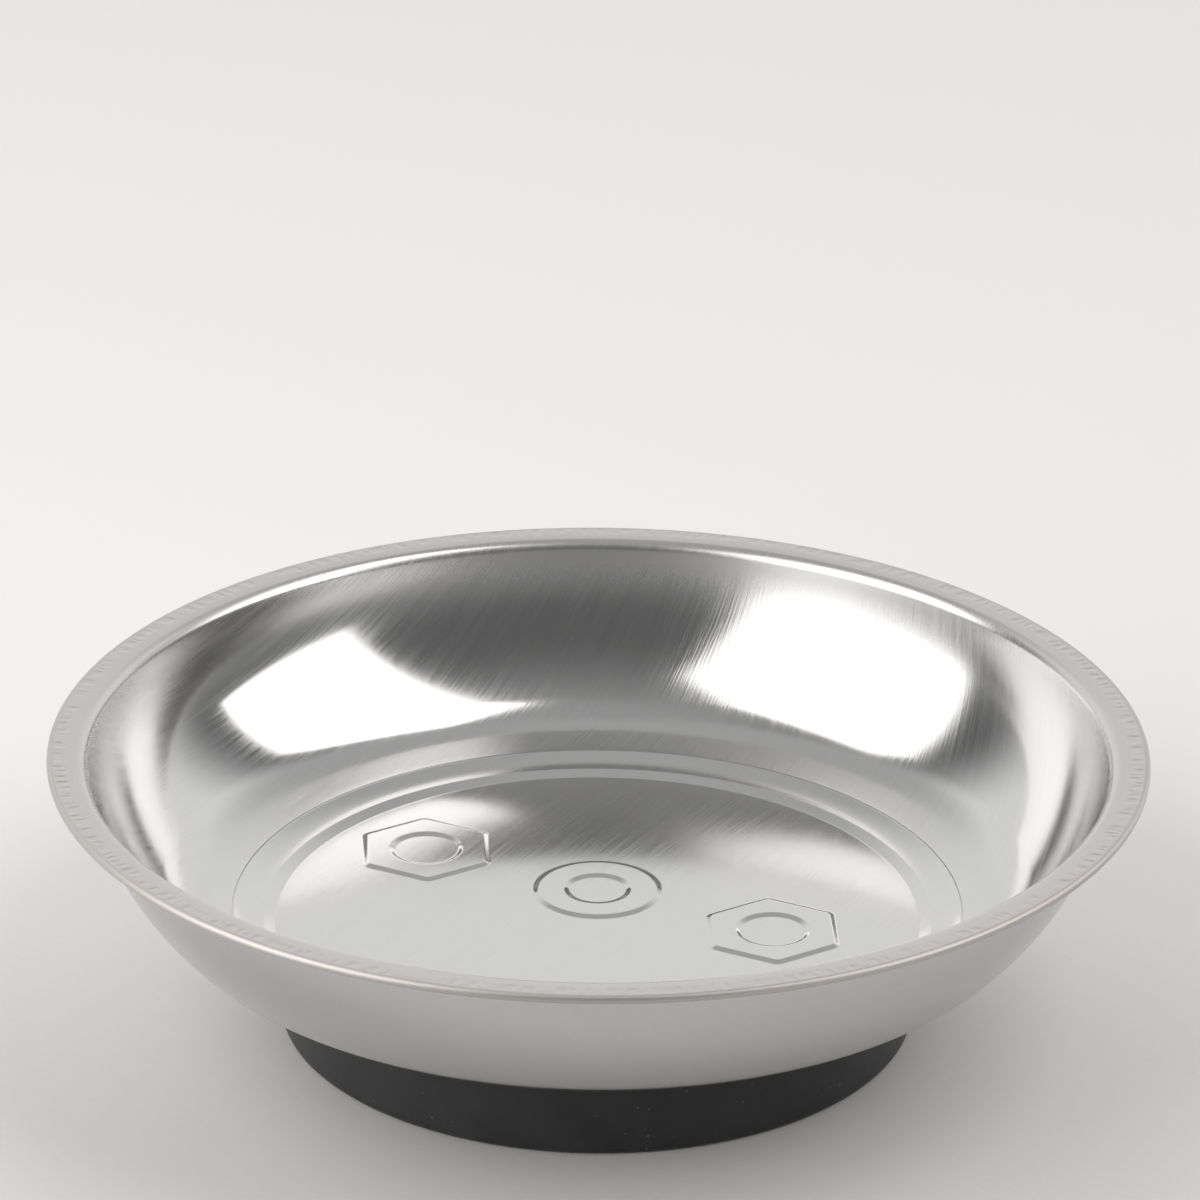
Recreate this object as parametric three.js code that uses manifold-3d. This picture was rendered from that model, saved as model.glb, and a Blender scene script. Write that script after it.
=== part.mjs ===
import * as THREE from 'three';
import * as BufferGeometryUtils from 'three/addons/utils/BufferGeometryUtils.js';
import Module from 'manifold-3d';

// A round magnetic parts tray: a dish pressed from one sheet of stainless steel,
// bonded to a ring magnet in a rubber boot that the tray stands on.
// Millimetres, +Z up, origin in the middle of the boot's underside.

const wasm = await Module();
wasm.setup();

// Dish, as the middle of its sheet
const sheetThickness = 0.5;
const rimRadius = 75;
const discRadius = 44.2;
const slopeStart = { radius: 0.8, turn: 19 };
const slopeLength = 1.65;
const slopeEnd = { radius: 0.25, turn: -14 };
const ledgeHollow = { radius: 12.4, turn: 18.5 };
const ledgeCrease = { radius: 0.4, turn: -23.5 };
const creaseWidth = 0.15;
const floorStart = { radius: 0.6, turn: 11.5 };
const floorBend = { radius: 80, turn: 3 };
const cornerBend = { radius: 12.16, turn: 30.8 };
const wallBend = { radius: 35.24, turn: 35 };
const neckBend = { radius: 1.4, turn: -75.3 };
const lipTilt = 5;
const hemRadius = 0.35;
const hemReturn = 2.4;
const bendStep = 18;
const ledgeStep = 7;
const wallStep = 6;
const dishSegments = 72;

// Raised hardware outlines in the middle of the dish
const markHeight = 0.3;
const markCentre = { x: 0, y: 8 };
const markTurn = -27;
const markPitch = 27;
const nutFlats = 17;
const nutHole = 4.8;
const washerRadius = 8.6;
const washerHole = 4.3;

// Foot: a rubber boot around the magnet, its adhesive, the steel plate and the mounting pad
const bootRadius = 43.6;
const bootWallRadius = 41;
const bootFloor = 2;
const bootLipRadius = 39.5;
const bootLip = 1;
const bootEdge = 0.8;
const gripGrooves = [22, 32];
const footSegments = 60;
const grooveWidth = 1.6;
const grooveDepth = 0.6;
const magnetRadius = 40;
const magnetHole = 20;
const magnetHeight = 8.5;
const magnetBondHeight = 0.25;
const plateRadius = 40.75;
const plateThickness = 1;
const padRadius = 38;
const padThickness = 1.5;

// Heights that follow from the stack
const bondBase = bootFloor + magnetHeight;
const plateBase = bondBase + magnetBondHeight;
const padBase = plateBase + plateThickness;
const discUnderside = padBase + padThickness;

const steel = new THREE.MeshStandardMaterial({ color: 0xc9c8c6, roughness: 0.25, metalness: 1 });
const zinc = new THREE.MeshStandardMaterial({ color: 0xa9adb0, roughness: 0.4, metalness: 1 });
const ferrite = new THREE.MeshStandardMaterial({ color: 0x3a3a3c, roughness: 0.6, metalness: 0.1 });
const rubber = new THREE.MeshStandardMaterial({ color: 0x1c1c1d, roughness: 0.85, metalness: 0 });
const foam = new THREE.MeshStandardMaterial({ color: 0xd8d6cf, roughness: 0.9, metalness: 0 });
const epoxy = new THREE.MeshStandardMaterial({ color: 0x8b8f78, roughness: 0.45, metalness: 0 });

const mergeDistance = 1e-4;
const tray = new THREE.Group();

const degrees = (angle) => THREE.MathUtils.degToRad(angle);
const aside = (heading) => new THREE.Vector2(-Math.sin(heading), Math.cos(heading));

// A profile of radius and height points turned around +Z
function turned(profile, segments) {
  const geometry = new THREE.LatheGeometry(profile, segments);
  geometry.rotateX(Math.PI / 2);
  return geometry;
}

// A closed ring section from radius and height pairs
function ringProfile(pairs) {
  const points = pairs.map(([radius, height]) => new THREE.Vector2(radius, height));
  return [...points, points[0].clone()];
}

// A mesh as a solid: corners that share a place become one, and slivers at the axis go
function toManifold(geometry) {
  const bare = geometry.index ? geometry.toNonIndexed() : geometry.clone();
  bare.deleteAttribute('normal');
  bare.deleteAttribute('uv');
  const merged = BufferGeometryUtils.mergeVertices(bare, mergeDistance);
  const corners = merged.index.array;
  const kept = [];
  for (let k = 0; k < corners.length; k += 3) {
    const [a, b, c] = [corners[k], corners[k + 1], corners[k + 2]];
    if (a !== b && b !== c && c !== a) {
      kept.push(a, b, c);
    }
  }
  return new wasm.Manifold(new wasm.Mesh({
    numProp: 3,
    vertProperties: new Float32Array(merged.attributes.position.array),
    triVerts: new Uint32Array(kept),
  }));
}

function fromManifold(solid) {
  const mesh = solid.getMesh();
  const geometry = new THREE.BufferGeometry();
  geometry.setAttribute('position', new THREE.BufferAttribute(mesh.vertProperties, 3));
  geometry.setIndex(new THREE.BufferAttribute(mesh.triVerts, 1));
  geometry.computeVertexNormals();
  return geometry;
}

function addPiece(name, geometry, material, height) {
  const mesh = new THREE.Mesh(geometry, material);
  mesh.name = name;
  mesh.position.z = height;
  tray.add(mesh);
}

// Follows a sheet's middle line from the axis outwards, and gives a closed section around it
function bentSheet(sections, thickness) {
  let point = new THREE.Vector2(0, 0);
  let heading = 0;
  const stations = [{ point, heading }];
  for (const section of sections) {
    if (section.length) {
      const along = new THREE.Vector2(Math.cos(heading), Math.sin(heading));
      point = point.clone().addScaledVector(along, section.length);
      stations.push({ point, heading });
      continue;
    }
    const side = Math.sign(section.turn) * section.radius;
    const centre = point.clone().addScaledVector(aside(heading), side);
    const start = heading;
    const steps = Math.max(2, Math.ceil(Math.abs(section.turn) / (section.step ?? bendStep)));
    for (let k = 1; k <= steps; k += 1) {
      heading = start + degrees(section.turn) * k / steps;
      point = centre.clone().addScaledVector(aside(heading), -side);
      stations.push({ point, heading });
    }
  }
  const half = thickness / 2;
  const upper = stations.map((s) => s.point.clone().addScaledVector(aside(s.heading), half));
  const lower = stations.map((s) => s.point.clone().addScaledVector(aside(s.heading), -half));
  return { end: point, outline: [...lower, ...upper.reverse()] };
}

// The dish: disc, short slope, hollow ledge with a crease, floor, rounded wall, lip folded under
const dishSections = [
  { length: discRadius },
  slopeStart,
  { length: slopeLength },
  slopeEnd,
  { ...ledgeHollow, step: ledgeStep },
  ledgeCrease,
  { length: creaseWidth },
  floorStart,
  floorBend,
  cornerBend,
  { ...wallBend, step: wallStep },
  neckBend,
];
const neckEnd = bentSheet(dishSections, sheetThickness).end;
const lipWidth = rimRadius - sheetThickness / 2 - hemRadius - neckEnd.x;
const lipCrown = { radius: lipWidth / Math.sin(degrees(lipTilt)), turn: -lipTilt };
const hem = { radius: hemRadius, turn: -180, step: 45 };
const dishOutline = bentSheet([...dishSections, lipCrown, hem, { length: hemReturn }], sheetThickness).outline;
const dish = toManifold(turned(dishOutline, dishSegments));

// The raised outlines stand in a row across the disc, sunk a little into the sheet
const markSink = sheetThickness / 2;

function markSolid(outline, hole, place) {
  outline.holes.push(new THREE.Path().absarc(0, 0, hole, 0, Math.PI * 2, true));
  const depth = markSink + markHeight;
  const plate = new THREE.ExtrudeGeometry(outline, { depth, bevelEnabled: false, curveSegments: 20 });
  plate.translate(place * markPitch, 0, 0);
  plate.rotateZ(degrees(markTurn));
  plate.translate(markCentre.x, markCentre.y, 0);
  return toManifold(plate);
}

function nutOutline() {
  const corner = nutFlats / 2 / Math.cos(Math.PI / 6);
  const corners = [0, 1, 2, 3, 4, 5].map((k) => {
    const angle = k * Math.PI / 3;
    return new THREE.Vector2(corner * Math.cos(angle), corner * Math.sin(angle));
  });
  return new THREE.Shape(corners);
}

const washerOutline = new THREE.Shape().absarc(0, 0, washerRadius, 0, Math.PI * 2, false);
const bowl = dish
  .add(markSolid(nutOutline(), nutHole, -1))
  .add(markSolid(washerOutline, washerHole, 0))
  .add(markSolid(nutOutline(), nutHole, 1));
addPiece('bowl', fromManifold(bowl), steel, discUnderside + sheetThickness / 2);

// The mounting pad between the disc and the plate
addPiece('bond_pad', turned([
  new THREE.Vector2(0, 0),
  new THREE.Vector2(padRadius, 0),
  new THREE.Vector2(padRadius, padThickness),
  new THREE.Vector2(0, padThickness),
], footSegments), foam, padBase);

// The steel plate over the magnet
addPiece('backing_plate', turned([
  new THREE.Vector2(0, 0),
  new THREE.Vector2(plateRadius, 0),
  new THREE.Vector2(plateRadius, plateThickness),
  new THREE.Vector2(0, plateThickness),
], footSegments), zinc, plateBase);

// The adhesive between the magnet and the plate
addPiece('magnet_bond', turned(ringProfile([
  [magnetHole + 1, 0],
  [magnetRadius - 1, 0],
  [magnetRadius - 1, magnetBondHeight],
  [magnetHole + 1, magnetBondHeight],
]), footSegments), epoxy, bondBase);

// The ring magnet, with ground edges broken by a small chamfer
const chamfer = 0.5;
addPiece('ring_magnet', turned(ringProfile([
  [magnetHole + chamfer, 0],
  [magnetRadius - chamfer, 0],
  [magnetRadius, chamfer],
  [magnetRadius, magnetHeight - chamfer],
  [magnetRadius - chamfer, magnetHeight],
  [magnetHole + chamfer, magnetHeight],
  [magnetHole, magnetHeight - chamfer],
  [magnetHole, chamfer],
]), footSegments), ferrite, bootFloor);

// The boot: a cup with grip grooves underneath and a lip that snaps over the plate's edge
const bootTop = padBase + bootLip;
const bootProfile = [new THREE.Vector2(0, 0)];
for (const radius of gripGrooves) {
  const inner = radius - grooveWidth / 2;
  const outer = radius + grooveWidth / 2;
  bootProfile.push(new THREE.Vector2(inner, 0));
  bootProfile.push(new THREE.Vector2(inner + grooveDepth / 2, grooveDepth));
  bootProfile.push(new THREE.Vector2(outer - grooveDepth / 2, grooveDepth));
  bootProfile.push(new THREE.Vector2(outer, 0));
}
for (let k = 0; k <= 4; k += 1) {
  const angle = Math.PI / 2 * k / 4;
  const radius = bootRadius - bootEdge * (1 - Math.sin(angle));
  bootProfile.push(new THREE.Vector2(radius, bootEdge * (1 - Math.cos(angle))));
}
bootProfile.push(new THREE.Vector2(bootRadius, bootTop - bootEdge / 2));
bootProfile.push(new THREE.Vector2(bootRadius - bootEdge / 2, bootTop));
bootProfile.push(new THREE.Vector2(bootLipRadius, bootTop));
bootProfile.push(new THREE.Vector2(bootLipRadius, padBase));
bootProfile.push(new THREE.Vector2(bootWallRadius, padBase));
bootProfile.push(new THREE.Vector2(bootWallRadius, bootFloor));
bootProfile.push(new THREE.Vector2(0, bootFloor));
addPiece('rubber_boot', turned(bootProfile, footSegments), rubber, 0);

export default tray;
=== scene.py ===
import math

import bmesh
import bpy
from mathutils import Matrix, Vector
from mathutils.geometry import delaunay_2d_cdt


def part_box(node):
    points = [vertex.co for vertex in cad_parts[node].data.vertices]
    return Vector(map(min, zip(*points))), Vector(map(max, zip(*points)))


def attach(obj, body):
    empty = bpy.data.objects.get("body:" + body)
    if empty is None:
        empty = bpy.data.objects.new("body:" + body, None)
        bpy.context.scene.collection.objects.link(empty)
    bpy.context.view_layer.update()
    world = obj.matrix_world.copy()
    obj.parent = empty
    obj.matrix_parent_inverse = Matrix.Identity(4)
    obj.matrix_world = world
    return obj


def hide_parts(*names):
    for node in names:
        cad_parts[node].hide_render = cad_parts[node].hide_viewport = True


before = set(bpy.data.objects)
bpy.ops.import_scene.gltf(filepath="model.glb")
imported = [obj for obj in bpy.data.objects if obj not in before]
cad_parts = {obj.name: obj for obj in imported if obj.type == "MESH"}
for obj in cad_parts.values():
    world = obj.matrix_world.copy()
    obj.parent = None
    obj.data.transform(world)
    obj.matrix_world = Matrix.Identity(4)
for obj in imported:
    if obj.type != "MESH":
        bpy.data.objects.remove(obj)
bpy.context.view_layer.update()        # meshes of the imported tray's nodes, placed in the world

scene = bpy.context.scene
millimetre = 0.001
fullTurn = 2 * math.pi


# Small helpers for node trees

def feed(tree, value, socket):
    if isinstance(value, bpy.types.NodeSocket):
        tree.links.new(value, socket)
    elif value is not None:
        socket.default_value = value


def node(tree, kind, inputs=None, **options):
    made = tree.nodes.new(kind)
    for name, value in options.items():
        setattr(made, name, value)
    for name, value in (inputs or {}).items():
        feed(tree, value, made.inputs[name])
    return made


def calc(tree, operation, *values):
    made = node(tree, "ShaderNodeMath", dict(enumerate(values)), operation=operation)
    return made.outputs[0]


def vectorCalc(tree, operation, *values, output="Vector"):
    made = node(tree, "ShaderNodeVectorMath", dict(enumerate(values)), operation=operation)
    return made.outputs[output]


def ease(tree, value, low, high, fromLow=0.0, toHigh=1.0):    # smooth step from low to high
    made = node(tree, "ShaderNodeMapRange", {0: value, 1: low, 2: high, 3: fromLow, 4: toHigh},
                interpolation_type="SMOOTHSTEP")
    return made.outputs[0]


def noise(tree, vector, scale=1.0, detail=2.0, roughness=0.5):
    made = node(tree, "ShaderNodeTexNoise", {"Vector": vector, "Scale": scale,
                                             "Detail": detail, "Roughness": roughness})
    return made.outputs[0]


def mixColour(tree, factor, first, second):
    made = node(tree, "ShaderNodeMix", {0: factor, 6: first, 7: second}, data_type="RGBA")
    return made.outputs[2]


def mixLevel(tree, factor, first, second):
    return node(tree, "ShaderNodeMix", {0: factor, 2: first, 3: second}, data_type="FLOAT").outputs[0]


def vector3(tree, x, y, z=0.0):
    return node(tree, "ShaderNodeCombineXYZ", {0: x, 1: y, 2: z}).outputs[0]


def newTree(kind, name, inputs, outputs):    # inputs: name -> (type, default)
    tree = bpy.data.node_groups.new(name, kind)
    for label, (socketType, value) in inputs.items():
        socket = tree.interface.new_socket(name=label, in_out="INPUT",
                                           socket_type="NodeSocket" + socketType)
        if value is not None:
            socket.default_value = value
    for label, socketType in outputs.items():
        tree.interface.new_socket(name=label, in_out="OUTPUT", socket_type="NodeSocket" + socketType)
    return tree, tree.nodes.new("NodeGroupInput").outputs, tree.nodes.new("NodeGroupOutput").inputs


def useGroup(tree, group, **values):    # speckSize=0.2 feeds the input Speck Size
    made = tree.nodes.new("ShaderNodeGroup")
    made.node_tree = group
    for name, value in values.items():
        label = "".join(" " + letter if letter.isupper() else letter for letter in name).title()
        feed(tree, value, made.inputs[label])
    return made.outputs


cameraView = {
    "lens": 212.2,           # mm on a 36 mm sensor
    "aim": (0.0, 0.0, 0.0396),
    "distance": 0.9632,
    "elevation": 25.17,      # of the camera over the aim point
    "tilt": 23.99,           # of the lens below the horizon
    "roll": 0.48,
}


def makeCamera():
    data = bpy.data.cameras.new("trayCamera")
    data.lens = cameraView["lens"]
    camera = bpy.data.objects.new("trayCamera", data)
    rise = math.radians(cameraView["elevation"])
    back = Vector((0.0, -math.cos(rise), math.sin(rise))) * cameraView["distance"]
    turn = Matrix.Rotation(math.radians(90 - cameraView["tilt"]), 4, "X")
    roll = Matrix.Rotation(math.radians(cameraView["roll"]), 4, "Z")
    camera.matrix_world = Matrix.Translation(Vector(cameraView["aim"]) + back) @ turn @ roll
    scene.collection.objects.link(camera)
    scene.camera = camera


makeCamera()
print("camera ready")


softboxes = {    # angles seen from the tray: 0 is the front, positive to the right
    "left": {"azimuth": -62.2, "elevation": 35.5, "distance": 1.085, "size": (1.29, 1.30),
             "roll": -1.0, "turn": 19.9, "nod": 13.5, "radiance": 2.2, "colour": (1.0, 0.99, 0.975)},
    "right": {"azimuth": 81.7, "elevation": 52.1, "distance": 3.828, "size": (2.556, 4.774),
              "roll": -0.8, "turn": 0.4, "nod": 24.5, "radiance": 2.2, "colour": (1.0, 0.99, 0.98)},
}
studio = {
    "lampAim": 0.03,         # height that the softboxes are measured from
    "front": 0.15,           # darkest, between the softboxes
    "lowFront": 0.13,        # brighter by this much at the horizon
    "top": 0.43,
    "back": 0.98, "highBack": 0.52,
    "backEdge": (106, 130),  # degrees from the front where the pale back begins
    "backTop": (28, 50),     # and where it fades upwards
    "lowRise": (22, 0),      # degrees of height where the front brightens downwards
    "frontTop": (35, 85), "backCrown": (68, 88),    # where front and back turn into the top
    "background": (0.8, 0.8, 0.8, 1.0),
    # the second, darker floor colour is painted shade on the floor in front of the tray
    "floorColour": (0.86, 0.855, 0.845, 1.0), "paintedShadeFloorColour": (0.53, 0.526, 0.519, 1.0),
    "paintedShadeFade": (-0.18, 0.06),  # painted shade, from the darker tone in front of the tray to the pale one, along Y
    "floorRadius": 1.05, "floorSides": 96,
    "floorRoughness": 0.9, "floorSpecular": 0.2, "fibreScale": 900.0, "fibreTone": 0.12,
}


def makeSoftbox(name, box):
    azimuth, elevation = math.radians(box["azimuth"]), math.radians(box["elevation"])
    away = Vector((math.sin(azimuth) * math.cos(elevation), -math.cos(azimuth) * math.cos(elevation),
                   math.sin(elevation)))
    right = Vector((math.cos(azimuth), math.sin(azimuth), 0.0))
    axes = Matrix((right, away.cross(right), away)).transposed().to_4x4()
    roll = Matrix.Rotation(math.radians(box["roll"]), 4, "Z")
    turn = Matrix.Rotation(-math.radians(box["turn"]), 4, "Y")
    nod = Matrix.Rotation(math.radians(box["nod"]), 4, "X")
    lamp = bpy.data.lights.new("softbox." + name, "AREA")
    lamp.shape = "RECTANGLE"
    lamp.size, lamp.size_y = box["size"]
    lamp.color = box["colour"]
    lamp.energy = box["radiance"] * math.pi * lamp.size * lamp.size_y
    place = away * box["distance"] + Vector((0.0, 0.0, studio["lampAim"]))
    holder = bpy.data.objects.new("softbox." + name, lamp)
    holder.matrix_world = Matrix.Translation(place) @ axes @ roll @ turn @ nod
    holder.visible_camera = False
    scene.collection.objects.link(holder)


def makeWorld():
    world = bpy.data.worlds.new("studio")
    world.use_nodes = True
    scene.world = world
    tree = world.node_tree
    tree.nodes.clear()
    direction = node(tree, "ShaderNodeTexCoord").outputs["Generated"]
    parts = node(tree, "ShaderNodeSeparateXYZ", {0: direction}).outputs
    ahead = calc(tree, "MULTIPLY", parts[1], -1.0)
    sideways = calc(tree, "ABSOLUTE", calc(tree, "ARCTAN2", parts[0], ahead))
    rise = calc(tree, "ARCSINE", parts[2])
    lowRise, frontTop, backEdge, backTop, backCrown = [
        [math.radians(angle) for angle in studio[band]]
        for band in ("lowRise", "frontTop", "backEdge", "backTop", "backCrown")]
    lowness = ease(tree, rise, *lowRise)
    topness = ease(tree, rise, *frontTop)
    front = calc(tree, "MULTIPLY_ADD", lowness, studio["lowFront"], studio["front"])
    front = mixLevel(tree, topness, front, studio["top"])
    back = ease(tree, rise, *backTop, studio["back"], studio["highBack"])
    back = mixLevel(tree, ease(tree, rise, *backCrown), back, studio["top"])
    level = mixLevel(tree, ease(tree, sideways, *backEdge), front, back)
    tone = node(tree, "ShaderNodeCombineColor", {0: level, 1: level, 2: level}).outputs[0]
    seen = node(tree, "ShaderNodeLightPath").outputs["Is Camera Ray"]
    colour = mixColour(tree, seen, tone, studio["background"])
    background = node(tree, "ShaderNodeBackground", {"Color": colour})
    output = tree.nodes.new("ShaderNodeOutputWorld")
    tree.links.new(background.outputs[0], output.inputs["Surface"])


def makeFloor():
    form = bmesh.new()
    bmesh.ops.create_circle(form, cap_ends=True, segments=studio["floorSides"],
                             radius=studio["floorRadius"])
    mesh = bpy.data.meshes.new("floor")
    form.to_mesh(mesh)
    form.free()
    finish = bpy.data.materials.new("floorPaper")
    finish.use_nodes = True
    tree = finish.node_tree
    shader = tree.nodes["Principled BSDF"]
    place = node(tree, "ShaderNodeTexCoord").outputs["Object"]
    fibre = noise(tree, place, scale=studio["fibreScale"], detail=3.0)
    along = node(tree, "ShaderNodeSeparateXYZ", {0: place}).outputs[1]
    # paper fibre plus painted shade: the floor colour darkens towards the front
    fibreAndPaintedShade = calc(tree, "MULTIPLY_ADD", fibre, studio["fibreTone"], ease(tree, along, *studio["paintedShadeFade"]))
    feed(tree, mixColour(tree, fibreAndPaintedShade, studio["paintedShadeFloorColour"], studio["floorColour"]),
         shader.inputs["Base Color"])
    shader.inputs["Roughness"].default_value = studio["floorRoughness"]
    shader.inputs["Specular IOR Level"].default_value = studio["floorSpecular"]
    mesh.materials.append(finish)
    floor = bpy.data.objects.new("floor", mesh)
    scene.collection.objects.link(floor)


for boxName, box in softboxes.items():
    makeSoftbox(boxName, box)
makeWorld()
makeFloor()
scene.view_settings.view_transform = "Standard"
print("studio ready")


# Shader groups that more than one finish uses

grainShape = {
    "drift": (0.07, 0.05, 0.0),      # slow sideways wander of the streaks
    "fine": 0.7, "wide": 0.3,        # shares of the height
    "wideLength": 0.6, "wideWidth": 0.23, "widePlace": 3.7,    # wide streaks against the fine ones
    "streakEdges": (0.36, 0.64),
}


def makeBrushedGrain():    # streaks along X of a vector in millimetres
    tree, given, result = newTree("ShaderNodeTree", "brushedGrain", {
        "Vector": ("Vector", None), "Streak Width": ("Float", 0.3),
        "Streak Length": ("Float", 14.0), "Waver": ("Float", 0.4),
    }, {"Height": "Float", "Streaks": "Float"})
    parts = node(tree, "ShaderNodeSeparateXYZ", {0: given["Vector"]}).outputs
    drift = noise(tree, vectorCalc(tree, "MULTIPLY", given["Vector"], grainShape["drift"]), detail=1.0)
    across = calc(tree, "MULTIPLY_ADD", drift, given["Waver"], parts[1])
    lengthways = calc(tree, "DIVIDE", parts[0], given["Streak Length"])
    fineAcross = calc(tree, "DIVIDE", across, given["Streak Width"])
    fine = noise(tree, vector3(tree, lengthways, fineAcross), detail=2.0, roughness=0.6)
    wide = noise(tree, vector3(tree, calc(tree, "MULTIPLY", lengthways, grainShape["wideLength"]),
                               calc(tree, "MULTIPLY", fineAcross, grainShape["wideWidth"]),
                               grainShape["widePlace"]), detail=1.0)
    height = calc(tree, "MULTIPLY_ADD", wide, grainShape["wide"],
                  calc(tree, "MULTIPLY", fine, grainShape["fine"]))
    feed(tree, height, result["Height"])
    feed(tree, ease(tree, height, *grainShape["streakEdges"]), result["Streaks"])
    return tree


def makeSoftWaves():    # slow unevenness of pressed or moulded surfaces
    tree, given, result = newTree("ShaderNodeTree", "softWaves", {
        "Vector": ("Vector", None), "Wave Size": ("Float", 18.0),
    }, {"Height": "Float"})
    scaled = vectorCalc(tree, "DIVIDE", given["Vector"],
                        vector3(tree, given["Wave Size"], given["Wave Size"], given["Wave Size"]))
    feed(tree, noise(tree, scaled, detail=1.5, roughness=0.45), result["Height"])
    return tree


def makeFineTexture():    # even fine grain of rubber, foam, glue and ferrite
    tree, given, result = newTree("ShaderNodeTree", "fineTexture", {
        "Vector": ("Vector", None), "Grain Size": ("Float", 0.3),
    }, {"Height": "Float", "Tone": "Float"})
    scaled = vectorCalc(tree, "DIVIDE", given["Vector"],
                        vector3(tree, given["Grain Size"], given["Grain Size"], given["Grain Size"]))
    feed(tree, noise(tree, scaled, detail=3.0, roughness=0.6), result["Height"])
    cloudy = noise(tree, vectorCalc(tree, "SCALE", scaled, None, None, 0.04), detail=3.0)
    feed(tree, ease(tree, cloudy, 0.3, 0.7), result["Tone"])
    return tree


def makeDustSpecks():    # scattered pale specks
    tree, given, result = newTree("ShaderNodeTree", "dustSpecks", {
        "Vector": ("Vector", None), "Spacing": ("Float", 1.6), "Speck Size": ("Float", 0.08),
        "Share": ("Float", 0.5),
    }, {"Mask": "Float"})
    scaled = vectorCalc(tree, "DIVIDE", given["Vector"],
                        vector3(tree, given["Spacing"], given["Spacing"], given["Spacing"]))
    cells = node(tree, "ShaderNodeTexVoronoi", {"Vector": scaled, "Scale": 1.0})
    picks = node(tree, "ShaderNodeSeparateColor", {0: cells.outputs["Color"]}).outputs
    reach = calc(tree, "MULTIPLY", calc(tree, "DIVIDE", given["Speck Size"], given["Spacing"]), picks[1])
    spot = calc(tree, "LESS_THAN", cells.outputs["Distance"], reach)
    chosen = calc(tree, "LESS_THAN", picks[0], given["Share"])
    feed(tree, calc(tree, "MULTIPLY", spot, chosen), result["Mask"])
    return tree


brushedGrain = makeBrushedGrain()
softWaves = makeSoftWaves()
fineTexture = makeFineTexture()
dustSpecks = makeDustSpecks()


def newFinish(name, metallic=0.0, **fixed):
    finish = bpy.data.materials.new(name)
    finish.use_nodes = True
    shader = finish.node_tree.nodes["Principled BSDF"]
    shader.inputs["Metallic"].default_value = metallic
    for label, value in fixed.items():
        shader.inputs[label.replace("_", " ")].default_value = value
    return finish, finish.node_tree, shader


def objectMillimetres(tree):
    place = node(tree, "ShaderNodeTexCoord").outputs["Object"]
    return vectorCalc(tree, "SCALE", place, None, None, 1000.0)


def bumps(tree, *layers):    # (height, distance in mm), coarsest first
    normal = None
    for height, distance in layers:
        bump = node(tree, "ShaderNodeBump", {"Height": height, "Distance": distance * millimetre,
                                             "Strength": 1.0})
        if normal is not None:
            tree.links.new(normal, bump.inputs["Normal"])
        normal = bump.outputs[0]
    return normal


sheetMap = "SheetMap"    # flat sheet before pressing, in metres, with X along the grain
stainlessLook = {
    "colour": (0.632, 0.628, 0.624, 1.0), "shade": (0.614, 0.61, 0.606, 1.0),
    "lipColour": (0.575, 0.55, 0.533, 1.0),
    "roughness": (0.08, 0.13),   # between and on the streaks
    "scuffed": 0.05, "upperWall": 0.15,         # added to it
    "outside": 0.17, "lip": 0.27, "hem": 0.5,    # in its place
    "anisotropy": 0.5,
    "streakWidth": 0.32, "streakLength": 14.0, "waver": 0.8,
    "grainHeight": 0.008,        # mm, times the next two
    "plainGrain": 0.2, "scuffedGrain": 1.6,
    "lipGrain": 0.35, "lipGrainHeight": 0.006,
    "waveSize": 17.0, "waveHeight": 0.004,
    "lipEdge": (69.6, 71.4),     # radius where the duller lip begins
    "hemEdge": (74.1, 74.5),     # and its folded edge
    "upperEdge": (27.0, 38.0),   # height over which the wall grows duller
    "outsideTurn": (0.05, -0.05),    # upward part of the surface's direction
    "scuffCentre": (16.0, 62.0, 30.0), "scuffReach": (62.0, 20.0),
}


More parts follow.
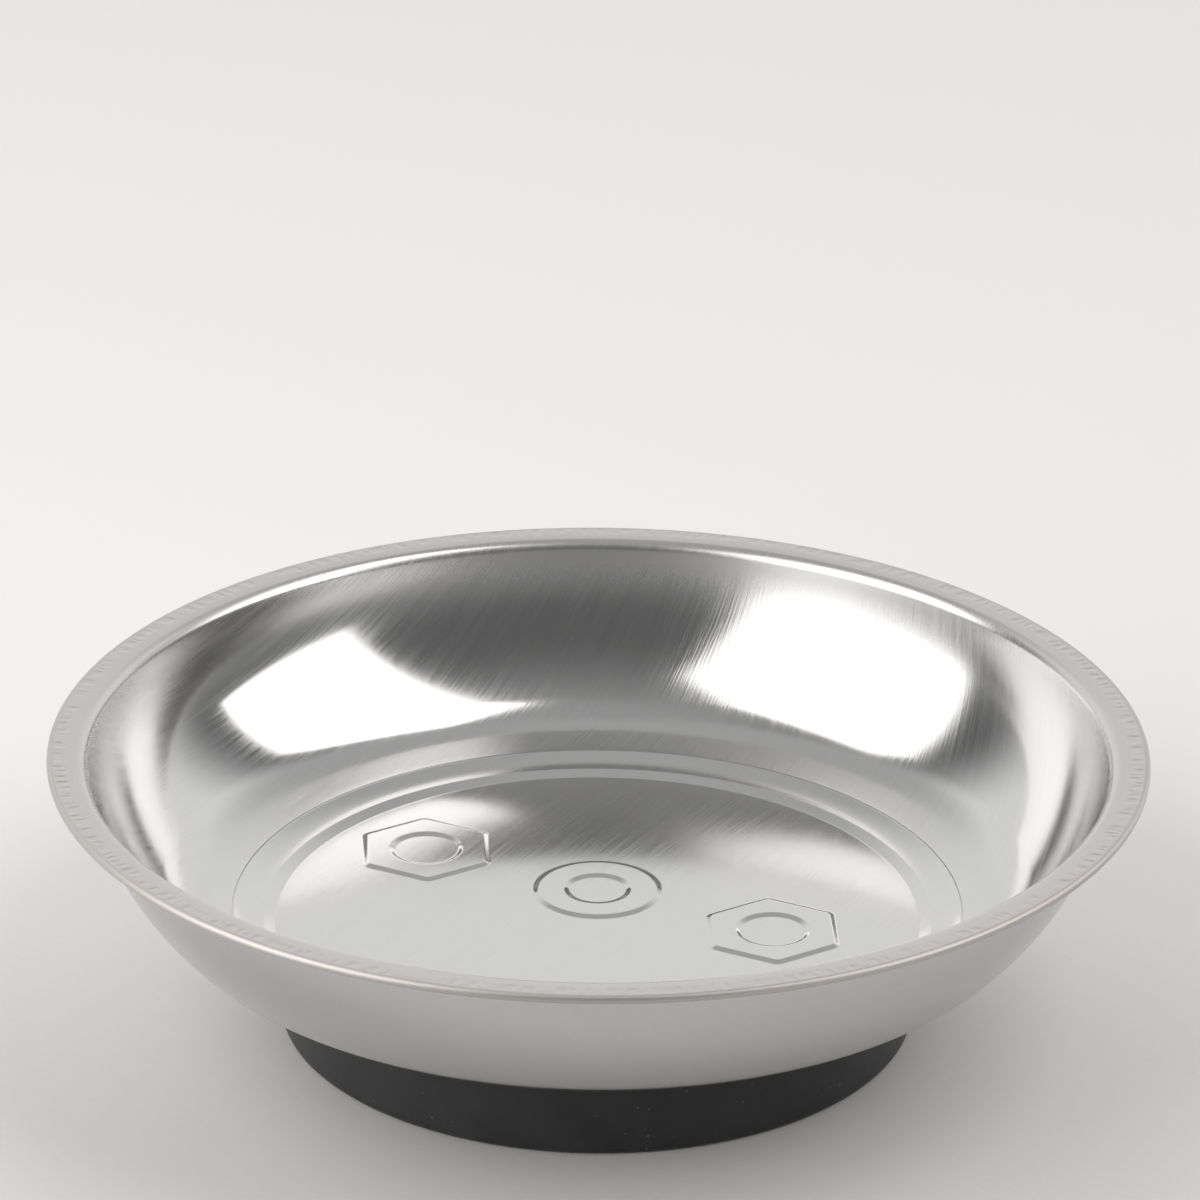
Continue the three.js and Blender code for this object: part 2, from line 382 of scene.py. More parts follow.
def makeStainless():
    look = stainlessLook
    finish, tree, shader = newFinish("brushedStainless", metallic=1.0, Anisotropic=look["anisotropy"])
    place = objectMillimetres(tree)
    level = vectorCalc(tree, "MULTIPLY", place, (1.0, 1.0, 0.0))
    radius = vectorCalc(tree, "LENGTH", level, output="Value")
    lip = ease(tree, radius, *look["lipEdge"])
    facing = node(tree, "ShaderNodeSeparateXYZ", {0: node(tree, "ShaderNodeTexCoord").outputs["Normal"]})
    outside = ease(tree, facing.outputs[2], *look["outsideTurn"])
    plain = calc(tree, "MULTIPLY", calc(tree, "SUBTRACT", 1.0, lip),
                 calc(tree, "SUBTRACT", 1.0, outside))    # the dish's inside up to the lip
    scuffDistance = vectorCalc(tree, "DISTANCE", place, look["scuffCentre"], output="Value")
    scuffs = calc(tree, "MULTIPLY", ease(tree, scuffDistance, *look["scuffReach"]), plain)
    sheet = node(tree, "ShaderNodeUVMap", uv_map=sheetMap).outputs[0]
    sheet = vectorCalc(tree, "SCALE", sheet, None, None, 1000.0)
    grain = useGroup(tree, brushedGrain, vector=sheet, streakWidth=look["streakWidth"],
                     streakLength=look["streakLength"], waver=look["waver"])
    waves = useGroup(tree, softWaves, vector=sheet, waveSize=look["waveSize"])
    lipTexture = useGroup(tree, fineTexture, vector=place, grainSize=look["lipGrain"])
    low, high = look["roughness"]
    roughness = calc(tree, "MULTIPLY_ADD", grain["Streaks"], high - low, low)
    roughness = calc(tree, "MULTIPLY_ADD", scuffs, look["scuffed"], roughness)
    height = node(tree, "ShaderNodeSeparateXYZ", {0: place}).outputs[2]
    roughness = calc(tree, "MULTIPLY_ADD", ease(tree, height, *look["upperEdge"]), look["upperWall"],
                     roughness)
    roughness = mixLevel(tree, outside, roughness, look["outside"])
    lipRoughness = mixLevel(tree, ease(tree, radius, *look["hemEdge"]), look["lip"], look["hem"])
    feed(tree, mixLevel(tree, lip, roughness, lipRoughness), shader.inputs["Roughness"])
    body = mixColour(tree, grain["Streaks"], look["shade"], look["colour"])
    feed(tree, mixColour(tree, lip, body, look["lipColour"]), shader.inputs["Base Color"])
    strength = calc(tree, "MULTIPLY", calc(tree, "MULTIPLY_ADD", scuffs, look["scuffedGrain"],
                                           look["plainGrain"]), plain)
    grainHeight = calc(tree, "MULTIPLY", grain["Height"], strength)
    lipHeight = calc(tree, "MULTIPLY", lipTexture["Height"], lip)
    feed(tree, bumps(tree, (waves["Height"], look["waveHeight"]), (lipHeight, look["lipGrainHeight"]),
                     (grainHeight, look["grainHeight"])), shader.inputs["Normal"])
    tangent = node(tree, "ShaderNodeTangent", direction_type="UV_MAP", uv_map=sheetMap)
    feed(tree, tangent.outputs[0], shader.inputs["Tangent"])
    return finish


rubberLook = {
    "colour": (0.019, 0.019, 0.02, 1.0), "worn": (0.032, 0.032, 0.033, 1.0),
    "dust": (0.1, 0.098, 0.095, 1.0), "dustSpacing": 1.3, "dustSize": 0.2, "dustShare": 0.5,
    "specular": 0.45, "sheen": 0.2, "sheenRoughness": 0.4,
    "roughness": (0.5, 0.7), "grainSize": 0.3, "grainHeight": 0.035,
    "waveSize": 9.0, "waveHeight": 0.05,
}


def makeRubber():
    look = rubberLook
    finish, tree, shader = newFinish("bootRubber", Specular_IOR_Level=look["specular"],
                                     Sheen_Weight=look["sheen"], Sheen_Roughness=look["sheenRoughness"])
    place = objectMillimetres(tree)
    grain = useGroup(tree, fineTexture, vector=place, grainSize=look["grainSize"])
    waves = useGroup(tree, softWaves, vector=place, waveSize=look["waveSize"])
    specks = useGroup(tree, dustSpecks, vector=place, spacing=look["dustSpacing"],
                      speckSize=look["dustSize"], share=look["dustShare"])
    body = mixColour(tree, grain["Tone"], look["colour"], look["worn"])
    feed(tree, mixColour(tree, specks["Mask"], body, look["dust"]), shader.inputs["Base Color"])
    low, high = look["roughness"]
    feed(tree, calc(tree, "MULTIPLY_ADD", grain["Tone"], high - low, low), shader.inputs["Roughness"])
    feed(tree, bumps(tree, (waves["Height"], look["waveHeight"]), (grain["Height"], look["grainHeight"])),
         shader.inputs["Normal"])
    return finish


ferriteLook = {
    "colour": (0.04, 0.04, 0.044, 1.0), "pale": (0.075, 0.075, 0.08, 1.0),
    "roughness": (0.45, 0.65), "grainSize": 0.2, "grainHeight": 0.012,
    "chipSpacing": 3.0, "chipSize": 0.5, "chipShare": 0.3,
}


def makeFerrite():
    look = ferriteLook
    finish, tree, shader = newFinish("groundFerrite")
    place = objectMillimetres(tree)
    grain = useGroup(tree, fineTexture, vector=place, grainSize=look["grainSize"])
    chips = useGroup(tree, dustSpecks, vector=place, spacing=look["chipSpacing"],
                     speckSize=look["chipSize"], share=look["chipShare"])
    body = mixColour(tree, grain["Tone"], look["colour"], look["pale"])
    feed(tree, mixColour(tree, chips["Mask"], body, look["pale"]), shader.inputs["Base Color"])
    low, high = look["roughness"]
    feed(tree, calc(tree, "MULTIPLY_ADD", grain["Tone"], high - low, low), shader.inputs["Roughness"])
    feed(tree, bumps(tree, (grain["Height"], look["grainHeight"])), shader.inputs["Normal"])
    return finish


zincLook = {
    "colour": (0.52, 0.54, 0.56, 1.0), "dull": (0.4, 0.42, 0.44, 1.0),
    "roughness": (0.32, 0.5), "streakWidth": 0.5, "streakLength": 22.0, "waver": 0.6,
    "cloudSize": 0.5, "streakHeight": 0.002,
}


def makeZinc():
    look = zincLook
    finish, tree, shader = newFinish("zincPlate", metallic=1.0)
    place = objectMillimetres(tree)
    rolled = useGroup(tree, brushedGrain, vector=place, streakWidth=look["streakWidth"],
                      streakLength=look["streakLength"], waver=look["waver"])
    clouds = useGroup(tree, fineTexture, vector=place, grainSize=look["cloudSize"])
    feed(tree, mixColour(tree, clouds["Tone"], look["dull"], look["colour"]), shader.inputs["Base Color"])
    low, high = look["roughness"]
    feed(tree, calc(tree, "MULTIPLY_ADD", rolled["Streaks"], high - low, low), shader.inputs["Roughness"])
    feed(tree, bumps(tree, (rolled["Height"], look["streakHeight"])), shader.inputs["Normal"])
    return finish


epoxyLook = {
    "colour": (0.27, 0.28, 0.21, 1.0), "pale": (0.34, 0.35, 0.27, 1.0), "coat": 0.3,
    "roughness": (0.22, 0.34), "cloudSize": 0.4, "waveSize": 4.0, "waveHeight": 0.05,
}


def makeEpoxy():
    look = epoxyLook
    finish, tree, shader = newFinish("curedEpoxy", Coat_Weight=look["coat"])
    place = objectMillimetres(tree)
    clouds = useGroup(tree, fineTexture, vector=place, grainSize=look["cloudSize"])
    waves = useGroup(tree, softWaves, vector=place, waveSize=look["waveSize"])
    feed(tree, mixColour(tree, clouds["Tone"], look["colour"], look["pale"]), shader.inputs["Base Color"])
    low, high = look["roughness"]
    feed(tree, calc(tree, "MULTIPLY_ADD", clouds["Tone"], high - low, low), shader.inputs["Roughness"])
    feed(tree, bumps(tree, (waves["Height"], look["waveHeight"])), shader.inputs["Normal"])
    return finish


foamLook = {
    "colour": (0.66, 0.64, 0.59, 1.0), "pale": (0.74, 0.72, 0.67, 1.0), "pore": (0.4, 0.39, 0.36, 1.0),
    "specular": 0.25, "roughness": (0.8, 0.9), "cellSize": 0.35, "cellHeight": 0.06,
    "poreSpacing": 0.5, "poreSize": 0.3, "poreShare": 0.6,
}


def makeFoam():
    look = foamLook
    finish, tree, shader = newFinish("foamTape", Specular_IOR_Level=look["specular"])
    place = objectMillimetres(tree)
    cells = useGroup(tree, fineTexture, vector=place, grainSize=look["cellSize"])
    pores = useGroup(tree, dustSpecks, vector=place, spacing=look["poreSpacing"],
                     speckSize=look["poreSize"], share=look["poreShare"])
    body = mixColour(tree, cells["Tone"], look["colour"], look["pale"])
    feed(tree, mixColour(tree, pores["Mask"], body, look["pore"]), shader.inputs["Base Color"])
    low, high = look["roughness"]
    feed(tree, calc(tree, "MULTIPLY_ADD", cells["Tone"], high - low, low), shader.inputs["Roughness"])
    feed(tree, bumps(tree, (cells["Height"], look["cellHeight"])), shader.inputs["Normal"])
    return finish


finishes = {
    "stainless": makeStainless(), "boot_rubber": makeRubber(), "ferrite": makeFerrite(),
    "zinc_plate": makeZinc(), "epoxy": makeEpoxy(), "foam": makeFoam(),
}
print("finishes ready:", ", ".join(finishes))


# Trees that shape the turned pieces

def makeTurnedProfile():    # turns a profile line once round the vertical axis
    tree, given, result = newTree("GeometryNodeTree", "turnedProfile", {
        "Geometry": ("Geometry", None), "Steps": ("Int", 240), "Path Radius": ("Float", 0.01),
        "Merge Distance": ("Float", 1e-6), "Finish": ("Material", None),
    }, {"Geometry": "Geometry"})
    profile = node(tree, "GeometryNodeMeshToCurve", {0: given["Geometry"]})
    circle = node(tree, "GeometryNodeCurvePrimitiveCircle",
                  {"Resolution": given["Steps"], "Radius": given["Path Radius"]})
    upright = node(tree, "GeometryNodeSetCurveNormal", {"Curve": circle.outputs[0]}, mode="Z_UP")
    swept = node(tree, "GeometryNodeCurveToMesh", {"Curve": upright.outputs[0],
                                                   "Profile Curve": profile.outputs[0]})
    merged = node(tree, "GeometryNodeMergeByDistance", {"Geometry": swept.outputs[0],
                                                        "Distance": given["Merge Distance"]})
    smooth = node(tree, "GeometryNodeSetShadeSmooth", {"Geometry": merged.outputs[0]})
    real = node(tree, "GeometryNodeRealizeInstances", {"Geometry": smooth.outputs[0]})
    coated = node(tree, "GeometryNodeSetMaterial", {"Geometry": real.outputs[0],
                                                    "Material": given["Finish"]})
    tree.links.new(coated.outputs[0], result["Geometry"])
    return tree


wrinkleShape = {
    "change": 180.0,             # how fast the creases change from one radius to the next
    "creaseEdges": (0.42, 0.62), "reachScale": 0.45, "reachFade": 0.5,
}


def makeLipWrinkles():    # small radial creases that the folded edge leaves in the lip
    tree, given, result = newTree("GeometryNodeTree", "lipWrinkles", {
        "Geometry": ("Geometry", None), "Inner Radius": ("Float", 0.072), "Outer Radius": ("Float", 0.0742),
        "Ragged": ("Float", 0.0012), "Pitch": ("Float", 0.001), "Depth": ("Float", 3e-5),
        "Groove Radius": ("Float", 0.0742), "Groove Width": ("Float", 0.0002),
        "Groove Depth": ("Float", 3e-5), "Seed": ("Float", 3.0), "Finish": ("Material", None),
    }, {"Geometry": "Geometry"})
    place = node(tree, "GeometryNodeInputPosition").outputs[0]
    flat = vectorCalc(tree, "MULTIPLY", place, (1.0, 1.0, 0.0))
    radius = vectorCalc(tree, "LENGTH", flat, output="Value")
    around = vectorCalc(tree, "SCALE", vectorCalc(tree, "NORMALIZE", flat), None, None,
                        calc(tree, "DIVIDE", given["Outer Radius"], given["Pitch"]))
    turns = node(tree, "ShaderNodeSeparateXYZ", {0: around}).outputs
    seedVector = vector3(tree, turns[0], turns[1],
                         calc(tree, "MULTIPLY_ADD", radius, wrinkleShape["change"], given["Seed"]))
    creases = noise(tree, seedVector, scale=1.0, detail=1.0)
    reach = noise(tree, seedVector, scale=wrinkleShape["reachScale"], detail=0.0)
    innerEdge = calc(tree, "MULTIPLY_ADD", reach, given["Ragged"], given["Inner Radius"])
    innerFade = calc(tree, "ADD", innerEdge,
                     calc(tree, "MULTIPLY", given["Ragged"], wrinkleShape["reachFade"]))
    inside = ease(tree, radius, innerEdge, innerFade)
    outside = ease(tree, radius, given["Outer Radius"],
                   calc(tree, "SUBTRACT", given["Outer Radius"], given["Groove Width"]))
    sink = calc(tree, "MULTIPLY", calc(tree, "MULTIPLY", inside, outside),
                ease(tree, creases, *wrinkleShape["creaseEdges"]))
    offset = calc(tree, "ABSOLUTE", calc(tree, "SUBTRACT", radius, given["Groove Radius"]))
    groove = calc(tree, "MULTIPLY", ease(tree, offset, given["Groove Width"], 0.0), given["Groove Depth"])
    drop = calc(tree, "MULTIPLY_ADD", sink, given["Depth"], groove)
    moved = node(tree, "GeometryNodeSetPosition", {
        "Geometry": given["Geometry"],
        "Offset": vector3(tree, 0.0, 0.0, calc(tree, "MULTIPLY", drop, -1.0))})
    real = node(tree, "GeometryNodeRealizeInstances", {"Geometry": moved.outputs[0]})
    coated = node(tree, "GeometryNodeSetMaterial", {"Geometry": real.outputs[0],
                                                    "Material": given["Finish"]})
    tree.links.new(coated.outputs[0], result["Geometry"])
    return tree


turnedProfile = makeTurnedProfile()
lipWrinkles = makeLipWrinkles()
pathRadius = 10.0    # of the circle that a profile is carried along


def growMesh(name, mesh, tree, values):    # plain mesh that a tree makes from another mesh
    holder = bpy.data.objects.new(name, mesh)
    scene.collection.objects.link(holder)
    modifier = holder.modifiers.new("grow", "NODES")
    modifier.node_group = tree
    for item in tree.interface.items_tree:
        if item.in_out == "INPUT" and item.name in values:
            modifier[item.identifier] = values[item.name]
    graph = bpy.context.evaluated_depsgraph_get()
    grown = bpy.data.meshes.new_from_object(holder.evaluated_get(graph), depsgraph=graph)
    grown.name = name
    bpy.data.objects.remove(holder)
    return grown


def profileMesh(points, closed=False, alongs=None):    # radius and height pairs in mm
    mesh = bpy.data.meshes.new("profile")
    edges = [(k, k + 1) for k in range(len(points) - 1)]
    if closed:
        edges.append((len(points) - 1, 0))
    mesh.from_pydata([((radius - pathRadius) * millimetre, -height * millimetre, 0.0)
                      for radius, height in points], edges, [])
    if alongs:
        mesh.attributes.new("along", "FLOAT", "POINT").data.foreach_set("value", alongs)
    return mesh


def turnProfile(name, points, steps, finish, closed=False, alongs=None):
    return growMesh(name, profileMesh(points, closed, alongs), turnedProfile, {
        "Steps": steps, "Path Radius": pathRadius * millimetre, "Finish": finish})


def addPiece(name, mesh, nodeName):
    piece = bpy.data.objects.new(name, mesh)
    scene.collection.objects.link(piece)
    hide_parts(nodeName)
    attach(piece, "root")
    print("piece", name, len(mesh.polygons), "faces")


# The dish is one pressed sheet. Millimetres and degrees follow its middle from the axis outwards:
# a bend is its radius, turn and steps, and a straight run is its length and steps.
dish = {
    "thickness": 0.5,
    "discRadius": 44.2, "discGuard": 43.7, "discSteps": 4,
    "step": [(0.8, 19, 5), (1.65, 2), (0.25, -14, 4)],    # slope beside the disc
    "ledge": [(12.4, 18.5, 9), (0.4, -23.5, 6), (0.15, 1), (0.6, 11.5, 4)],    # hollow, then a crease
    "floor": (80.0, 3, 4), "cornerBend": (12.16, 30.8, 14), "wallBend": (35.24, 35, 18),
    "neckBend": (1.4, -75.3, 14), "lipTilt": 5, "lipSteps": 12,
    "hemRadius": 0.35, "hemSteps": 12, "hemReturn": (2.4, 2),
    "cutEdge": 0.6,          # share of the half thickness where points stand on the sheet's cut edge
    "cutLength": 0.12,       # how far past the end of the flat sheet those points are laid
    "grainAngle": 60,        # from +X
    "steps": 360, "lipRound": 2160, "underSteps": 240,    # steps round the axis
    "weldDistance": 1e-3, "lengthMatch": 1e-4,
}
lipCreases = {    # metres
    "Inner Radius": 0.0716, "Outer Radius": 0.0742, "Ragged": 0.0014, "Pitch": 0.0011, "Depth": 7e-5,
    "Groove Radius": 0.07418, "Groove Width": 0.00022, "Groove Depth": 2.5e-5, "Seed": 3.0,
}


def followSheet(sections, height):    # stations of radius, height, heading and length so far
    radius, heading, length = 0.0, 0.0, 0.0
    stations = [(radius, height, heading, length)]
    for section in sections:
        if len(section) == 2:
            run, steps = section
            for k in range(steps):
                radius += math.cos(heading) * run / steps
                height += math.sin(heading) * run / steps
                length += run / steps
                stations.append((radius, height, heading, length))
            continue
        bend, turn, steps = section
        side = math.copysign(bend, turn)
        centre = (radius - math.sin(heading) * side, height + math.cos(heading) * side)
        start, begun = heading, length
        for k in range(1, steps + 1):
            heading = start + math.radians(turn) * k / steps
            length = begun + bend * math.radians(abs(turn)) * k / steps
            radius, height = centre[0] + math.sin(heading) * side, centre[1] - math.cos(heading) * side
            stations.append((radius, height, heading, length))
    return stations


def offsetStation(station, distance):
    radius, height, heading, length = station
    return radius - math.sin(heading) * distance, height + math.cos(heading) * distance


def ringAt(form, alongLayer, length):    # open-edged ring at one length along the sheet, by angle
    found = [vert for vert in form.verts
             if vert.is_boundary and abs(vert[alongLayer] - length) < dish["lengthMatch"]]
    return sorted(found, key=lambda vert: (math.atan2(vert.co.y, vert.co.x) + 1e-6) % fullTurn)


def joinRings(form, coarse, fine):    # fans from a coarse ring to a finer one
    share = len(fine) // len(coarse)
    middle = share // 2
    for k, corner in enumerate(coarse):
        following = coarse[(k + 1) % len(coarse)]
        nearby = [fine[(k * share + j) % len(fine)] for j in range(share + 1)]
        for j in range(share):
            form.faces.new((corner if j < middle else following, nearby[j], nearby[j + 1]))
        form.faces.new((corner, nearby[middle], following))


# Raised hardware outlines: a nut, a washer and a nut in a row across the disc
marks = {
    "height": 0.3, "centre": (0.0, 8.0), "turn": -27.0, "pitch": 27.0,
    "nutFlats": 17.0, "nutHole": 4.8, "nutCorner": 1.2, "washerRadius": 8.6, "washerHole": 4.3,
    "washerSteps": 72, "holeSteps": 48, "cornerSteps": 8,
    "slope": [(0.6, 0.0), (0.4, 0.0), (0.26, 0.035), (0.12, 0.1), (0.0, 0.15),
              (-0.12, 0.2), (-0.26, 0.265), (-0.4, 0.3), (-0.6, 0.3)],    # outwards and upwards
}


def circleLoop(radius, steps):
    return [Vector((radius * math.cos(fullTurn * k / steps), radius * math.sin(fullTurn * k / steps)))
            for k in range(steps)]


def nutLoop(outwards):    # hexagon with rounded corners, moved outwards by a distance
    inner = marks["nutFlats"] / 2 - marks["nutCorner"]
    loop = []
    for corner in range(6):
        angle = math.pi / 3 * corner
        centre = Vector((math.cos(angle), math.sin(angle))) * inner / math.cos(math.pi / 6)
        for k in range(marks["cornerSteps"] + 1):
            turn = angle + math.radians(-30 + 60 * k / marks["cornerSteps"])
            loop.append(centre + Vector((math.cos(turn), math.sin(turn))) * (marks["nutCorner"] + outwards))
    return loop


def washerLoop(outwards):
    return circleLoop(marks["washerRadius"] + outwards, marks["washerSteps"])


def placeLoop(loop, position):    # position along the row, as -1, 0 or 1
    turn = Matrix.Rotation(math.radians(marks["turn"]), 2)
    shift = Vector(marks["centre"]) + turn @ Vector((position * marks["pitch"], 0.0))
    return [turn @ point + shift for point in loop]


def insideLoop(point, loop):
    inside = False
    for k, corner in enumerate(loop):
        before = loop[k - 1]
        if (corner.y > point.y) != (before.y > point.y):
            crossing = corner.x + (point.y - corner.y) * (before.x - corner.x) / (before.y - corner.y)
            inside ^= point.x < crossing
    return inside


def addFlat(form, alongLayer, outer, holes, height):    # triangles between one loop and its holes
    points, edges = [], []
    for loop in [outer, *holes]:
        first = len(points)
        points += loop
        edges += [(first + k, first + (k + 1) % len(loop)) for k in range(len(loop))]
    places, _, faces, *_ = delaunay_2d_cdt(points, edges, [], 0, 1e-7)
    verts = []
    for place in places:
        vert = form.verts.new((place.x, place.y, height))
        vert[alongLayer] = place.length
        verts.append(vert)
    for face in faces:
        middle = sum((places[k] for k in face), Vector((0.0, 0.0))) / len(face)
        if insideLoop(middle, outer) and not any(insideLoop(middle, hole) for hole in holes):
            form.faces.new([verts[k] for k in face])


def addSlope(form, alongLayer, makeLoop, position, base):    # strips up the edge of a raised outline
    rings = []
    for outwards, rise in marks["slope"]:
        ring = []
        for place in placeLoop(makeLoop(outwards), position):
            vert = form.verts.new((place.x, place.y, base + rise))
            vert[alongLayer] = place.length
            ring.append(vert)
        rings.append(ring)
    for lower, upper in zip(rings, rings[1:]):
        for k in range(len(lower)):
            form.faces.new((lower[k - 1], lower[k], upper[k], upper[k - 1]))


def addDisc(form, alongLayer, base):    # the disc inside the step, in millimetres
    guard, top = marks["slope"][0][0], marks["slope"][-1][0]
    height = base + marks["height"]
    shapes = []
    for position, outerLoop, hole in (
        (-1, nutLoop, marks["nutHole"]),
        (0, washerLoop, marks["washerHole"]),
        (1, nutLoop, marks["nutHole"]),
    ):
        def holeLoop(outwards, hole=hole):
            return circleLoop(hole - outwards, marks["holeSteps"])
        addSlope(form, alongLayer, outerLoop, position, base)
        addSlope(form, alongLayer, holeLoop, position, base)
        shapes.append(placeLoop(outerLoop(guard), position))
        addFlat(form, alongLayer, placeLoop(outerLoop(top), position), [placeLoop(holeLoop(top), position)],
                height)
        addFlat(form, alongLayer, placeLoop(holeLoop(guard), position), [], base)
    addFlat(form, alongLayer, circleLoop(dish["discGuard"], dish["steps"]), shapes, base)


def makeDish():
    low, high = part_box("bowl")
    half = dish["thickness"] / 2
    middleHeight = low.z / millimetre + half
    rimRadius = high.x / millimetre
    guard = dish["discGuard"]
    sections = [(guard, dish["discSteps"]), (dish["discRadius"] - guard, 1), *dish["step"], *dish["ledge"],
                dish["floor"], dish["cornerBend"], dish["wallBend"], dish["neckBend"]]
    neckEnd = followSheet(sections, middleHeight)
    lipWidth = rimRadius - half - dish["hemRadius"] - neckEnd[-1][0]
    crown = (lipWidth / math.sin(math.radians(dish["lipTilt"])), -dish["lipTilt"], dish["lipSteps"])
    hem = (dish["hemRadius"], -180, dish["hemSteps"])
    stations = followSheet([*sections, crown, hem, dish["hemReturn"]], middleHeight)
    upper = [(offsetStation(station, half), station[3]) for station in stations]
    lower = [(offsetStation(station, -half), station[3]) for station in stations]
    neck = len(neckEnd) - 1
    hemTop = neck + dish["lipSteps"] + dish["hemSteps"] // 3    # a third of the way round the hem
    tip = stations[-1]
    edge = [(offsetStation(tip, share * half), tip[3] + dish["cutLength"])
            for share in (dish["cutEdge"], -dish["cutEdge"])]
    finish = finishes["stainless"]
    form = bmesh.new()
    alongLayer = form.verts.layers.float.new("along")
    bands = {
        "inside": (upper[dish["discSteps"]:neck + 1], dish["steps"]),
        "lip": (upper[neck + 1:hemTop + 1], dish["lipRound"]),
        "under": (upper[hemTop + 1:] + edge + lower[::-1], dish["underSteps"]),
    }
    for name, (chain, steps) in bands.items():
        mesh = turnProfile(name, [place for place, _ in chain], steps, finish,
                           alongs=[length for _, length in chain])
        if name == "lip":
            mesh = growMesh(name, mesh, lipWrinkles, {**lipCreases, "Finish": finish})
        form.from_mesh(mesh)
    for vert in form.verts:
        vert.co /= millimetre
    addDisc(form, alongLayer, upper[0][0][1])
    bmesh.ops.remove_doubles(form, verts=form.verts[:], dist=dish["weldDistance"])
    for coarse, fine in ((neck, neck + 1), (hemTop + 1, hemTop)):
        joinRings(form, ringAt(form, alongLayer, upper[coarse][1]), ringAt(form, alongLayer, upper[fine][1]))
    openEdges = sum(not link.is_manifold for link in form.edges)
    print("dish: open edges", openEdges, "top", round(max(vert.co.z for vert in form.verts), 4))
    bmesh.ops.recalc_face_normals(form, faces=form.faces[:])
    laySheet(form, alongLayer)
    for vert in form.verts:
        vert.co *= millimetre
    for face in form.faces:
        face.smooth = True
        face.material_index = 0
    mesh = bpy.data.meshes.new("bowl")
    form.to_mesh(mesh)
    form.free()
    mesh.materials.append(finish)
    return mesh


def laySheet(form, alongLayer):    # where each point lay in the flat sheet before pressing
    uvLayer = form.loops.layers.uv.new(sheetMap)
    grain = math.radians(dish["grainAngle"])
    for vert in form.verts:
        angle = math.atan2(vert.co.y, vert.co.x) - grain
        length = vert[alongLayer] * millimetre
        spot = (length * math.cos(angle), length * math.sin(angle))
        for loop in vert.link_loops:
            loop[uvLayer].uv = spot


addPiece("dish", makeDish(), "bowl")


foot = {    # millimetres
    "steps": 240, "arcSteps": 5,
    "guard": 0.25,           # extra points this far from the ends of long flats keep them flat
    "bootFloor": 2.0, "bootWall": 41.0, "bootLipRadius": 39.5,
    "grooves": (22.0, 32.0), "grooveWidth": 1.6, "grooveDepth": 0.6,
    "magnetHole": 20.0, "bondInset": 1.0,
    # rounding of edges
    "bootEdge": 0.8, "bootTopEdge": 0.4, "bootLipEdge": 0.2, "seatEdge": 0.1, "insideEdge": 0.3,
    "grooveEdge": 0.12, "magnetEdge": 0.5, "bondEdge": 0.1, "plateEdge": 0.15,
}


def roundCorners(corners):    # each corner is a radius, a height and its rounding
    places = [Vector(corner[:2]) for corner in corners]
    line = []
    count, arcSteps, guard = len(corners), foot["arcSteps"], foot["guard"]
    for k, (place, rounding) in enumerate(zip(places, (corner[2] for corner in corners))):
        if not rounding:
            line.append([place])
            continue
        back = (places[k - 1] - place).normalized()
        on = (places[(k + 1) % count] - place).normalized()
        opening = back.angle(on)
        reach = rounding / math.tan(opening / 2)
        centre = place + (back + on).normalized() * rounding / math.sin(opening / 2)
        start, end = place + back * reach - centre, place + on * reach - centre
        swing = start.angle_signed(end)
        line.append([centre + Matrix.Rotation(-swing * j / arcSteps, 2) @ start
                     for j in range(arcSteps + 1)])
    points = []
    for k, arc in enumerate(line):
        points += arc
        following = line[(k + 1) % count][0]
        gap = following - arc[-1]
        if gap.length > 3 * guard and (k + 1 < count or corners[0][0] > 0):
            points += [arc[-1] + gap.normalized() * guard, following - gap.normalized() * guard]
    return [tuple(point) for point in points]


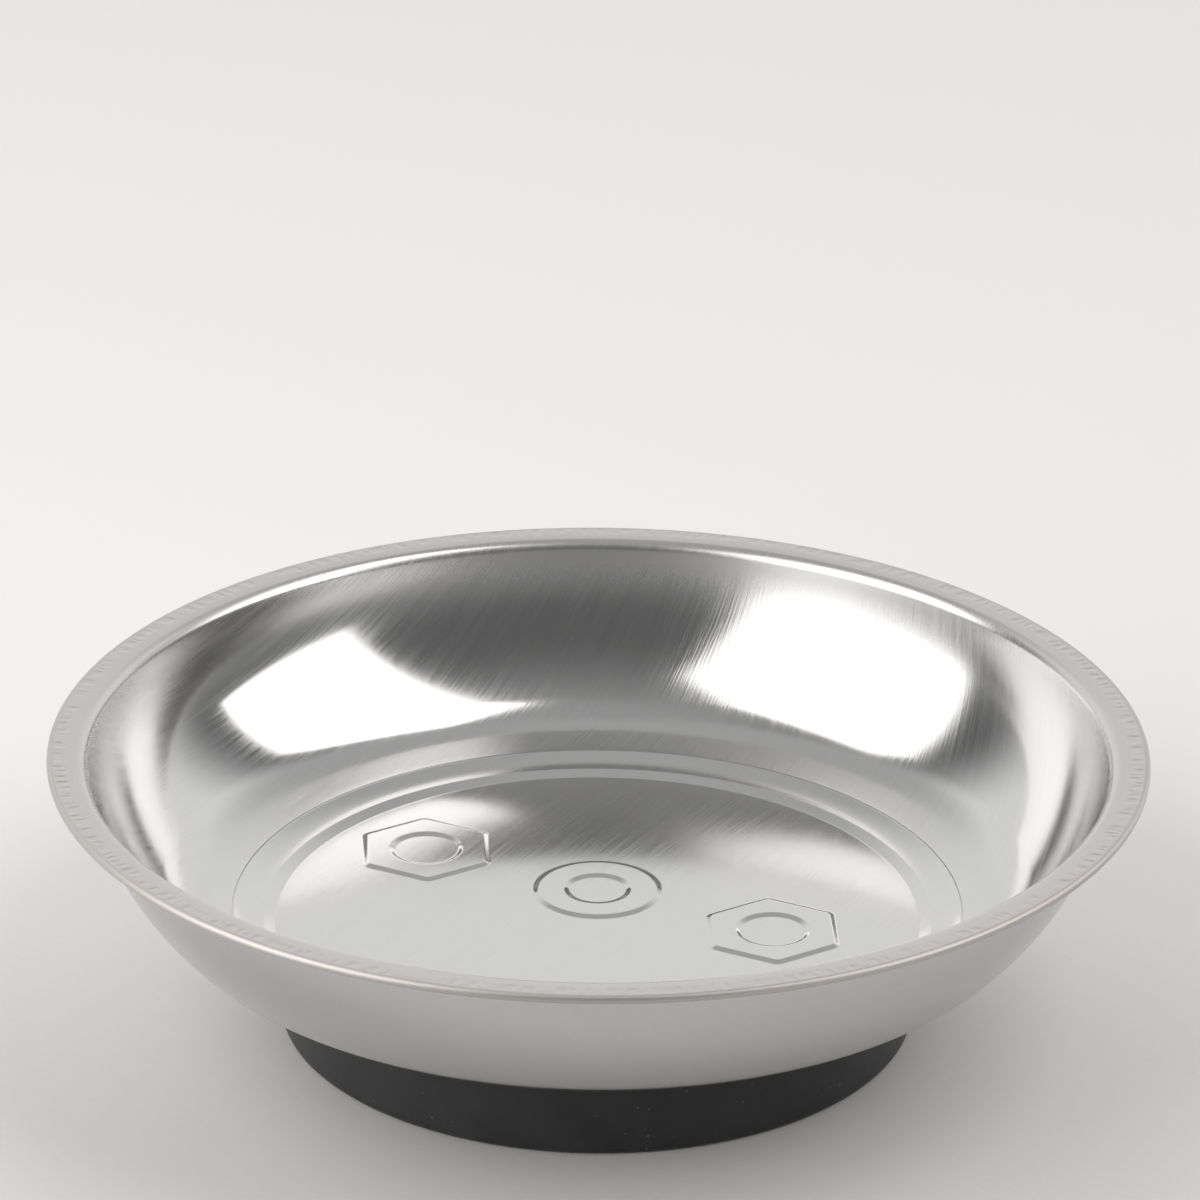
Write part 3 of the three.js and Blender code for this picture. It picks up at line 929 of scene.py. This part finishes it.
def sizesOf(nodeName):    # outer radius, lowest and highest point in mm
    low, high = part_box(nodeName)
    return high.x / millimetre, low.z / millimetre, high.z / millimetre


def bootProfile():
    radius, low, high = sizesOf("rubber_boot")
    plateTop = sizesOf("backing_plate")[2]
    corners = [(0.0, low, 0)]
    half, depth, edge = foot["grooveWidth"] / 2, foot["grooveDepth"], foot["grooveEdge"]
    for middle in foot["grooves"]:
        corners += [(middle - half, low, edge), (middle - half + depth / 2, low + depth, edge),
                    (middle + half - depth / 2, low + depth, edge), (middle + half, low, edge)]
    corners += [(radius, low, foot["bootEdge"]), (radius, high, foot["bootTopEdge"]),
                (foot["bootLipRadius"], high, foot["bootLipEdge"]),
                (foot["bootLipRadius"], plateTop, foot["seatEdge"]),
                (foot["bootWall"], plateTop, foot["seatEdge"]),
                (foot["bootWall"], foot["bootFloor"], foot["insideEdge"]), (0.0, foot["bootFloor"], 0)]
    return roundCorners(corners)


def slabProfile(nodeName):    # full disc
    radius, low, high = sizesOf(nodeName)
    edge = foot["plateEdge"]
    return roundCorners([(0.0, low, 0), (radius, low, edge), (radius, high, edge), (0.0, high, 0)])


def ringProfile(nodeName, hole, edge):
    radius, low, high = sizesOf(nodeName)
    return roundCorners([(hole, low, edge), (radius, low, edge), (radius, high, edge), (hole, high, edge)])


def addFootPiece(name, nodeName, slotName, profile, closed=False):
    mesh = turnProfile(name, profile, foot["steps"], finishes[slotName], closed)
    form = bmesh.new()
    form.from_mesh(mesh)
    bmesh.ops.recalc_face_normals(form, faces=form.faces[:])
    form.to_mesh(mesh)
    form.free()
    addPiece(name, mesh, nodeName)


addFootPiece("boot", "rubber_boot", "boot_rubber", bootProfile())
addFootPiece("magnet", "ring_magnet", "ferrite",
             ringProfile("ring_magnet", foot["magnetHole"], foot["magnetEdge"]), closed=True)
addFootPiece("glue", "magnet_bond", "epoxy",
             ringProfile("magnet_bond", foot["magnetHole"] + foot["bondInset"], foot["bondEdge"]),
             closed=True)
addFootPiece("plate", "backing_plate", "zinc_plate", slabProfile("backing_plate"))
addFootPiece("pad", "bond_pad", "foam", slabProfile("bond_pad"))
